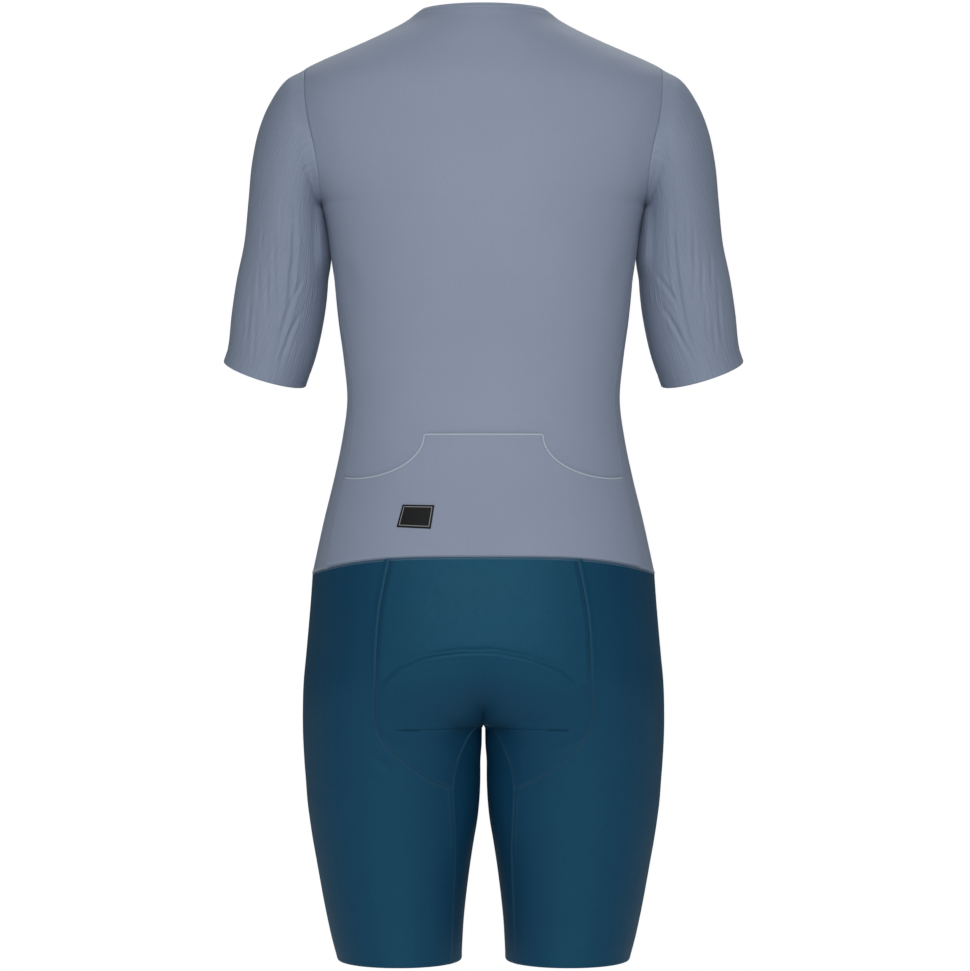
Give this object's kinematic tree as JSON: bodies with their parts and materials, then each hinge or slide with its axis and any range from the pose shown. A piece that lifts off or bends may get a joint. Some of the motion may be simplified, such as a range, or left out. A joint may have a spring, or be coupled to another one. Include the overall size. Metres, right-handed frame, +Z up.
{
  "type": "triathlon suit",
  "caption": "Short-sleeved one-piece triathlon suit in worn shape, hollow, with mid-thigh legs, back pocket, seat pad and front zip.",
  "frame": {"origin": "midway between the wearer's shoulders, at the level where the neck meets them, inside the neck opening", "axes": "+Z up the body, -Y out of the chest and +Y out of the back, +X to the wearer's left"},
  "size_m": [0.5346, 0.2495, 0.9698],
  "materials": {
    "upper_knit": "fine matt stretch knit",
    "sleeve_knit": "fine ribbed stretch knit",
    "shorts_knit": "smooth stretch knit with a slight sheen",
    "pad": "brushed knit over foam",
    "tape": "smooth tape",
    "label": "flat printed patch",
    "zip_tape": "woven tape",
    "zip_coil": "satin",
    "zip_metal": "satin"
  },
  "bodies": {
    "suit": {"upper_back": "upper_knit", "upper_front_left": "upper_knit", "upper_front_right": "upper_knit", "neck_binding": "upper_knit", "sleeve_left": "sleeve_knit", "sleeve_right": "sleeve_knit", "back_pocket": "upper_knit", "pocket_tape": "tape", "pocket_label": "label", "seat": "shorts_knit", "leg_left": "shorts_knit", "leg_right": "shorts_knit", "gusset": "shorts_knit", "seat_pad": "pad", "zip_tape": "zip_tape", "zip_coil": "zip_coil", "zip_slider": "zip_metal"},
    "zip_pull": {"zip_pull_tab": "zip_metal"}
  },
  "joints": [
    {"name": "zip_pull_hinge", "type": "hinge", "parent": "suit", "child": "zip_pull", "pos_m": [0, -0.07531, -0.06821], "axis": [-1, 0, 0], "range_deg": [0, 150]}
  ]
}
